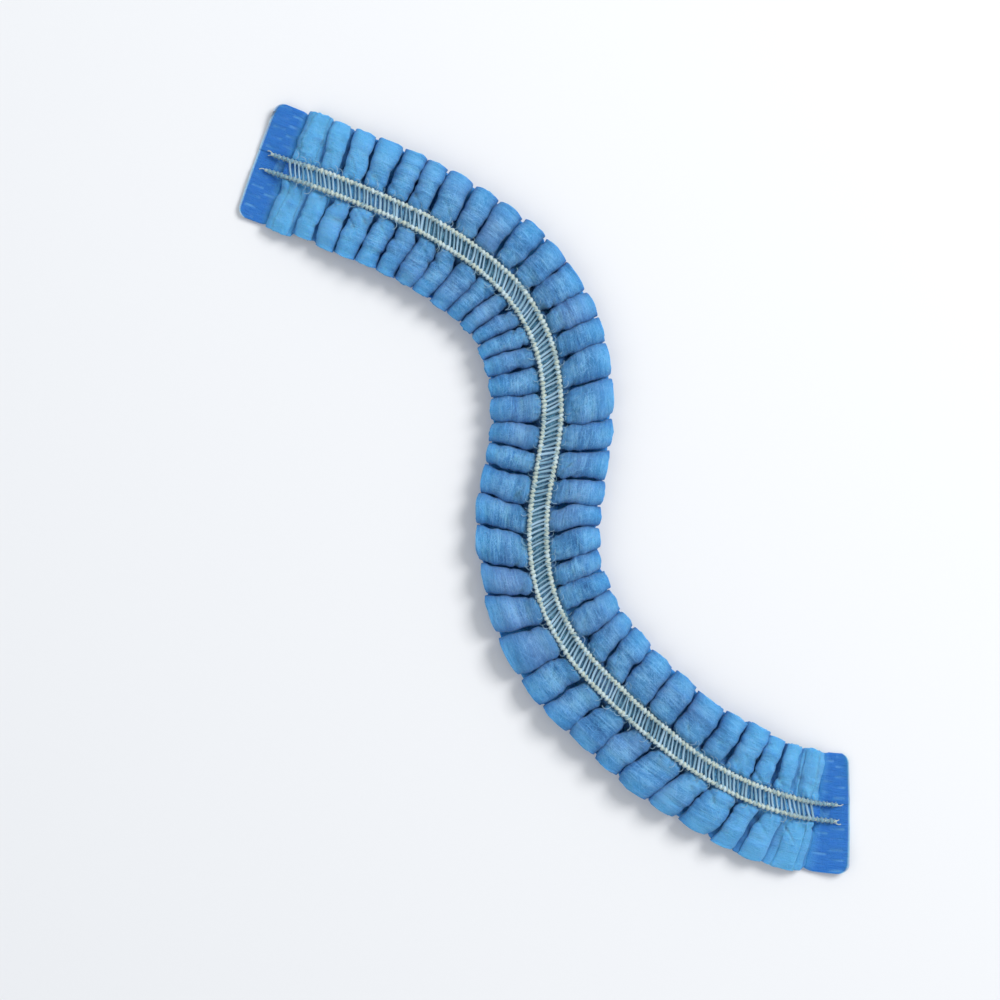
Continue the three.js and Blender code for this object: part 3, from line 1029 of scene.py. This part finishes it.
clothFinish = {
    "deep": (0.016, 0.092, 0.25, 1),
    "mid": (0.052, 0.22, 0.48, 1),
    "pale": (0.18, 0.43, 0.74, 1),
    "lilac": (0.17, 0.27, 0.54, 1),
    "inner": (0.050, 0.20, 0.37, 1),  # beside the cords
    "side": (0.06, 0.35, 0.76, 1),  # painted light towards the side folds: a brighter, more vivid blue for light glowing through the folds
    "end": (0.12, 0.46, 0.9, 1),  # painted light towards the welds: a brighter, more vivid blue for light glowing through the cloth there
    "shoulder": (0.016, 0.10, 0.32, 1),  # painted shade where the crowns turn down
    "crease": (0.040, 0.30, 0.74, 1),  # painted light in the creases: a lighter, bluer colour for light that comes through the cloth
    "weld": (0.003, 0.135, 0.56, 1),
    # the pressed weld dashes, paler: their own mark, with a painted highlight along them
    "dash": (0.14, 0.42, 0.84, 1),
    "cut": (0.42, 0.68, 0.9, 1),
    "innerShare": 0.45,  # how strong each of these colours is where its mark is whole
    "sideShare": 0.5,
    "endShare": 0.68,
    "shoulderShare": 0.7,
    "creaseShare": 0.75,
    "weldShare": 0.86,
    "cutShare": 0.8,
    "lilacShare": 0.46,
    "broadScale": (170, 150, 1),  # soft patches
    "lineScale": (140, 820, 1),  # fine lines along the strip
    "fineLineScale": (450, 2400, 1),
    "lilacScale": (48, 60, 1),
    "dashScale": (260, 330, 1),
    "roughness": 0.74,
    "weldRoughness": 0.5,
    "sheen": 0.12,
    "sheenTint": (0.7, 0.85, 1.0, 1),
    "specular": 0.3,
    "subsurface": 0.45,
    "subsurfaceRadius": (0.2, 0.6, 1.0),
    "subsurfaceScale": 0.0015,
    "bump": 0.7,
    "bumpDistance": 0.0005,
}
markNames = ("weld", "dash", "cut", "side", "inner", "end", "crown")


def clothMaterial(name, finish):
    material, tree, add, shader = startMaterial(name)
    flat = add("ShaderNodeUVMap", uv_map="strip").outputs["UV"]

    def noise(scale, detail, roughness=0.55, distortion=0.0):
        spread = add("ShaderNodeMapping", {"Vector": flat, "Scale": scale})
        return add("ShaderNodeTexNoise", {
            "Vector": spread.outputs["Vector"], "Scale": 1.0, "Detail": detail,
            "Roughness": roughness, "Distortion": distortion,
        }).outputs["Fac"]

    def work(operation, a, b):
        return add("ShaderNodeMath", {0: a, 1: b}, operation=operation).outputs["Value"]

    def blend(factor, a, b):
        return add("ShaderNodeMix", {"Factor": factor, "A": a, "B": b}, data_type="RGBA").outputs["Result"]

    def remap(value, low, high, most, least=0.0):  # from low to high becomes from least to most
        return add("ShaderNodeMapRange", {
            "Value": value, "From Min": low, "From Max": high, "To Min": least, "To Max": most,
        }).outputs["Result"]

    broad = noise(finish["broadScale"], 2.0)
    lines = noise(finish["lineScale"], 3.0, 0.6, 0.3)
    fineLines = noise(finish["fineLineScale"], 3.0, 0.6, 0.4)
    fibres = add("ShaderNodeGroup", node_tree=fibreWeb)
    tree.links.new(flat, fibres.inputs["Vector"])
    fibre = fibres.outputs["Fibres"]
    mark = {key: add("ShaderNodeAttribute", attribute_name=key).outputs["Fac"] for key in markNames}

    # Blue that varies in patches, lines and fibres, with a lilac tinge here and there
    tint = work("MULTIPLY", work("SUBTRACT", broad, 0.2), 0.84)
    tint = work("ADD", tint, work("MULTIPLY", lines, 0.5))
    tint = work("ADD", tint, work("MULTIPLY", work("SUBTRACT", fineLines, 0.24), 0.62))
    tint = work("ADD", tint, work("MULTIPLY", fibre, 0.26))
    ramp = add("ShaderNodeValToRGB", {"Fac": tint})
    ramp.color_ramp.elements[0].position = 0.44
    ramp.color_ramp.elements[0].color = finish["deep"]
    ramp.color_ramp.elements[1].position = 0.98
    ramp.color_ramp.elements[1].color = finish["pale"]
    ramp.color_ramp.elements.new(0.68).color = finish["mid"]
    tinge = remap(noise(finish["lilacScale"], 1.0), 0.48, 0.74, finish["lilacShare"])
    colour = blend(tinge, ramp.outputs["Color"], finish["lilac"])

    # Colours that follow the cloth's shape, with painted light brightening the cloth towards the side folds
    # and the welds
    for key in ("inner", "side", "end"):
        colour = blend(work("MULTIPLY", mark[key], finish[key + "Share"]), colour, finish[key])
    # Painted shade on the crowns' shoulders and painted light in the creases, both kept off the welds
    for key, low, high in (("shoulder", 0.99, 0.7), ("crease", 0.75, 0.1)):
        deep = remap(mark["crown"], low, high, finish[key + "Share"])
        offWeld = work("SUBTRACT", 1.0, mark["weld"])
        colour = blend(work("MULTIPLY", deep, offWeld), colour, finish[key])
    colour = blend(work("MULTIPLY", mark["weld"], finish["weldShare"]), colour, finish["weld"])
    # The pressed dashes: their pale, patchy colour is partly their own mark and partly a painted highlight
    patchy = remap(noise(finish["dashScale"], 0.0), 0.4, 0.65, 0.55, 0.05)
    colour = blend(work("MULTIPLY", mark["dash"], patchy), colour, finish["dash"])
    colour = blend(work("MULTIPLY", mark["cut"], finish["cutShare"]), colour, finish["cut"])
    tree.links.new(colour, shader.inputs["Base Color"])

    rough = remap(mark["weld"], 0.0, 1.0, finish["weldRoughness"], finish["roughness"])
    tree.links.new(rough, shader.inputs["Roughness"])
    height = work("ADD", work("MULTIPLY", lines, 0.9), work("MULTIPLY", fineLines, 1.1))
    height = work("ADD", height, work("MULTIPLY", fibre, 0.25))
    bump = add("ShaderNodeBump", {
        "Height": height, "Strength": finish["bump"], "Distance": finish["bumpDistance"],
    })
    tree.links.new(bump.outputs["Normal"], shader.inputs["Normal"])
    shader.inputs["Sheen Weight"].default_value = finish["sheen"]
    shader.inputs["Sheen Roughness"].default_value = 0.5
    shader.inputs["Sheen Tint"].default_value = finish["sheenTint"]
    shader.inputs["Specular IOR Level"].default_value = finish["specular"]
    shader.inputs["Subsurface Weight"].default_value = finish["subsurface"]
    shader.inputs["Subsurface Radius"].default_value = finish["subsurfaceRadius"]
    shader.inputs["Subsurface Scale"].default_value = finish["subsurfaceScale"]
    return material


threadFinish = {
    "shade": (0.13, 0.27, 0.36, 1),
    "cream": (0.47, 0.54, 0.46, 1),
    "white": (0.50, 0.63, 0.67, 1),
}
rungFinish = {  # thin thread, with the blue cloth showing through it
    "shade": (0.07, 0.20, 0.32, 1),
    "cream": (0.19, 0.35, 0.46, 1),
    "white": (0.29, 0.46, 0.60, 1),
}


def threadMaterial(name, finish):
    material, tree, add, shader = startMaterial(name)
    tone = add("ShaderNodeAttribute", attribute_name="tone").outputs["Fac"]
    place = add("ShaderNodeTexCoord").outputs["Object"]
    mottle = add("ShaderNodeTexNoise", {"Vector": place, "Scale": 700.0, "Detail": 3.0}).outputs["Fac"]
    mixed = add("ShaderNodeMath", {0: tone, 1: mottle}, operation="ADD").outputs["Value"]
    mixed = add("ShaderNodeMath", {0: mixed, 1: 0.5}, operation="MULTIPLY").outputs["Value"]
    ramp = add("ShaderNodeValToRGB", {"Fac": mixed})
    ramp.color_ramp.elements[0].position = 0.14
    ramp.color_ramp.elements[0].color = finish["shade"]
    ramp.color_ramp.elements[1].position = 0.72
    ramp.color_ramp.elements[1].color = finish["white"]
    ramp.color_ramp.elements.new(0.42).color = finish["cream"]
    tree.links.new(ramp.outputs["Color"], shader.inputs["Base Color"])
    twist = add("ShaderNodeTexNoise", {"Vector": place, "Scale": 4200.0, "Detail": 2.0}).outputs["Fac"]
    bump = add("ShaderNodeBump", {"Height": twist, "Strength": 0.5, "Distance": 0.0002})
    tree.links.new(bump.outputs["Normal"], shader.inputs["Normal"])
    rough = add("ShaderNodeMapRange", {"Value": mottle, "To Min": 0.45, "To Max": 0.75})
    tree.links.new(rough.outputs["Result"], shader.inputs["Roughness"])
    shader.inputs["Sheen Weight"].default_value = 0.25
    shader.inputs["Subsurface Weight"].default_value = 0.1
    shader.inputs["Subsurface Radius"].default_value = (0.8, 0.9, 1.0)
    shader.inputs["Subsurface Scale"].default_value = 0.0006
    return material


clothBlue = clothMaterial("nonwovenBlue", clothFinish)
rimBlue = clothMaterial("gatheredBlue", {
    **clothFinish,
    "deep": (0.012, 0.065, 0.12, 1),
    "mid": (0.038, 0.14, 0.23, 1),
    "pale": (0.12, 0.29, 0.42, 1),
})
threadCream = threadMaterial("creamThread", threadFinish)
threadBlue = threadMaterial("thinThread", rungFinish)


def finishWith(pieces, material):
    for obj in pieces:
        obj.data.materials.clear()
        obj.data.materials.append(material)


for obj in cordPieces:
    setTone(obj, cord["tone"])
finishWith(clothPieces, clothBlue)
finishWith([rimPiece], rimBlue)
finishWith([*cordPieces, *beadPieces, tailPiece], threadCream)
finishWith([ladderPiece, loosePiece], threadBlue)
print("materials done")

# Hide the solids that the new pieces replace, and hang every piece under the root body
for obj in clothPieces:
    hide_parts("cap_body")
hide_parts("rim_band")
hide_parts("elastic_left")
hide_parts("elastic_right")
for obj in [*clothPieces, rimPiece, *threadPieces]:
    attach(obj, "root")

# The floor, the light and the camera
stage = {
    "floorSize": 40.0,
    "floorDrop": 0.01 * mm,
    "floorColour": (0.78, 0.78, 0.79, 1),
    "floorRoughness": 0.7,
    "skyColour": (0.9, 0.95, 1.0, 1),
    "skyStrength": 0.6,
    "lens": 100,
    "sensor": 36,
    "pixel": 0.25 * mm,  # what one pixel of the picture covers on the strip
    "frame": 1000,
    "tabEndPixel": (850, 815),  # where the strip's lower right end is in the picture
}
bpy.ops.mesh.primitive_plane_add(size=stage["floorSize"], location=(0, 0, -stage["floorDrop"]))
floor = bpy.context.object
floor.name = "floor"
floorPaint, _, _, floorShader = startMaterial("paleFloor")
floorShader.inputs["Base Color"].default_value = stage["floorColour"]
floorShader.inputs["Roughness"].default_value = stage["floorRoughness"]
floor.data.materials.append(floorPaint)

tabEnd = onStrip(strip["length"], 0.0, 0.0)
centre = stage["frame"] / 2
lookX = tabEnd[0] - (stage["tabEndPixel"][0] - centre) * stage["pixel"]
lookY = tabEnd[1] + (stage["tabEndPixel"][1] - centre) * stage["pixel"]
distance = stage["lens"] / stage["sensor"] * stage["pixel"] * stage["frame"]
bpy.ops.object.camera_add(location=(lookX, lookY, distance + strip["height"] / 2), rotation=(0, 0, 0))
camera = bpy.context.object
camera.data.lens = stage["lens"]
camera.data.sensor_width = stage["sensor"]
camera.data.dof.use_dof = False
bpy.context.scene.camera = camera

lights = [  # name, place, size, power
    ("key", (0.8, 0.55, 0.95), 0.6, 15),
    ("fill", (-0.9, -0.3, 1.3), 1.4, 4),
]
for name, place, size, power in lights:
    bpy.ops.object.light_add(type="AREA", location=place)
    lamp = bpy.context.object
    lamp.name = name
    lamp.data.size = size
    lamp.data.energy = power
    x, y, z = place  # it looks at the origin
    lamp.rotation_euler = (math.atan2(math.hypot(x, y), z), 0, math.atan2(x, -y))
world = bpy.data.worlds.new("softRoom")
bpy.context.scene.world = world
world.use_nodes = True
sky = world.node_tree.nodes["Background"]
sky.inputs["Color"].default_value = stage["skyColour"]
sky.inputs["Strength"].default_value = stage["skyStrength"]
bpy.context.scene.view_settings.view_transform = "Standard"
print("stage done")

bpy.ops.object.select_all(action="DESELECT")
